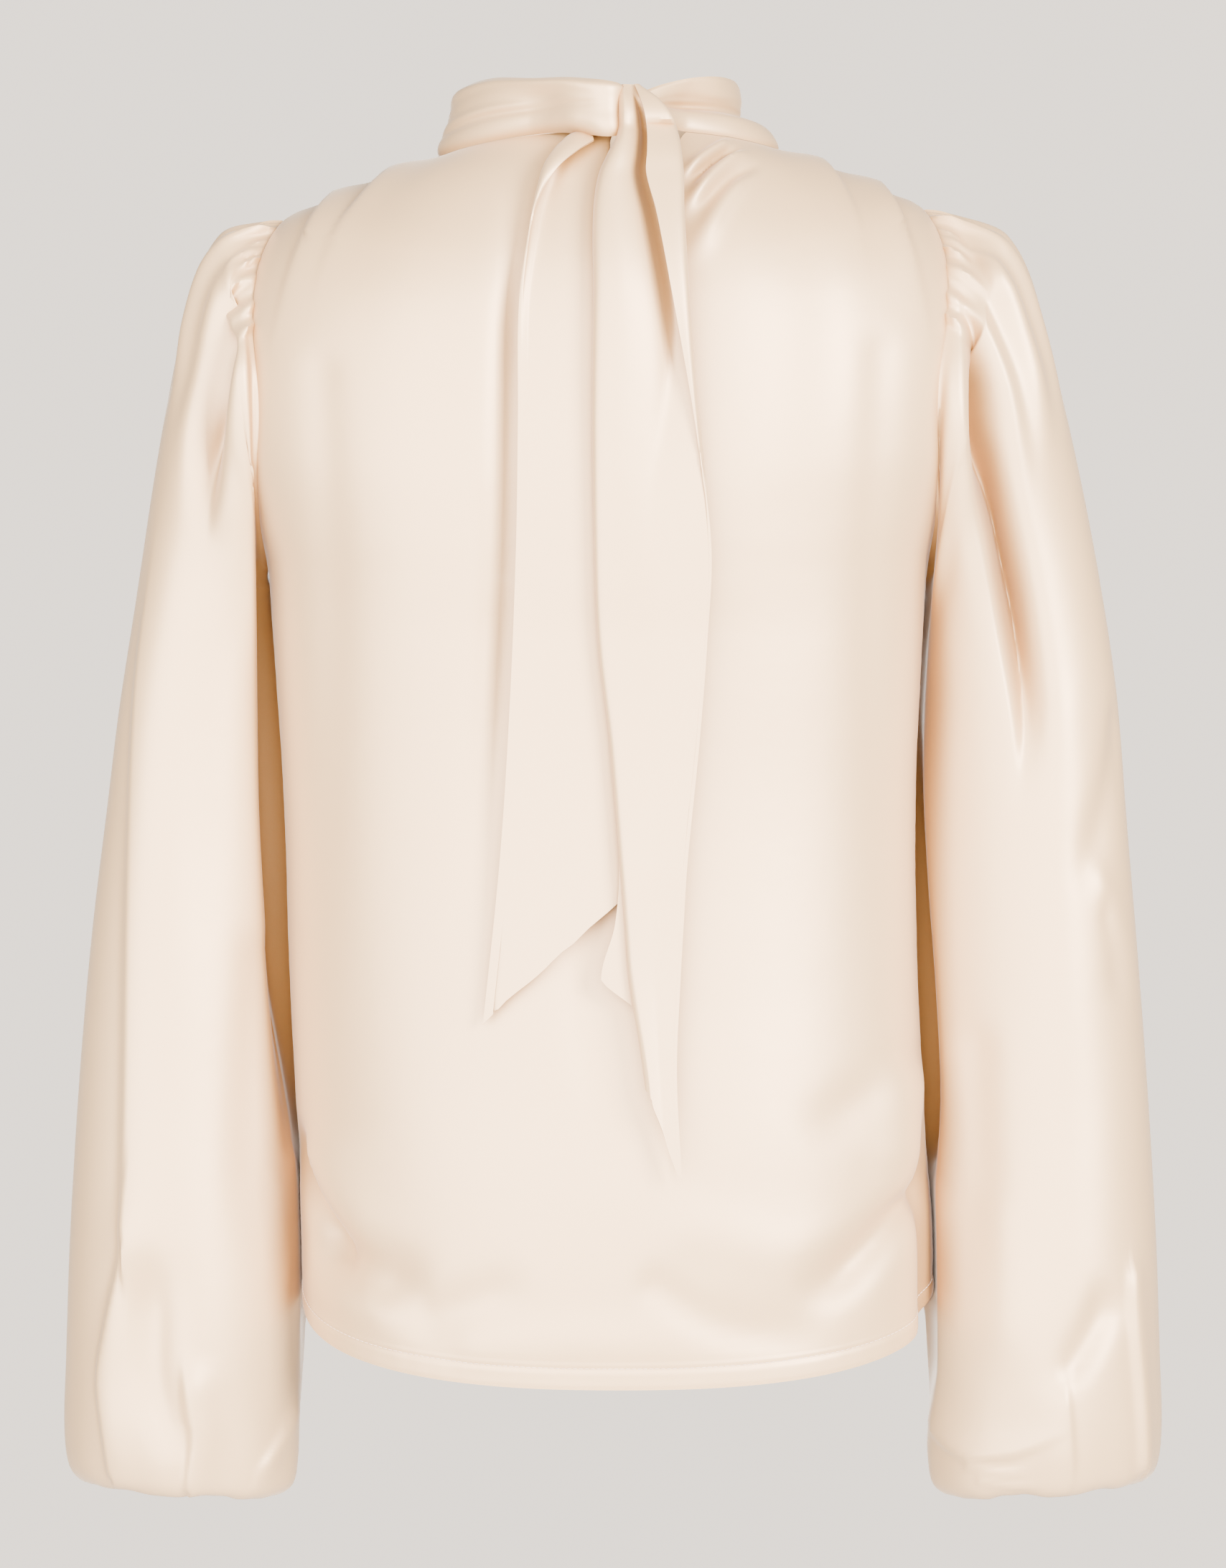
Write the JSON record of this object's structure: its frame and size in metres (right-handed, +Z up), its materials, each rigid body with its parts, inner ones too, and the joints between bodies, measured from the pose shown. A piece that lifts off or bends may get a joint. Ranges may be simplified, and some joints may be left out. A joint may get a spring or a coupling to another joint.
{
  "type": "tie-neck blouse",
  "caption": "Satin long-sleeved blouse with a high neckband tied behind the neck, pleated shoulders, full sleeves over narrow cuffs and a curved hem, kept in its worn hollow form.",
  "frame": {"origin": "middle of the neck opening, level with the neck points of the shoulder seams", "axes": "+Z up from hem to neck, +Y towards the plain front of the garment, so the tied back faces -Y, +X towards the wearer's right arm"},
  "size_m": [0.5788, 0.2515, 0.7478],
  "materials": {
    "satin": "soft satin",
    "band_satin": "soft satin, double",
    "tie_satin": "soft satin, double"
  },
  "bodies": {
    "root": {"back_panel": "satin", "front_panel": "satin", "sleeve_left": "satin", "sleeve_right": "satin", "cuff_left": "band_satin", "cuff_right": "band_satin", "neckband": "band_satin", "tie_knot": "band_satin", "tie_tail_front": "tie_satin", "tie_tail_back": "tie_satin"}
  },
  "joints": []
}
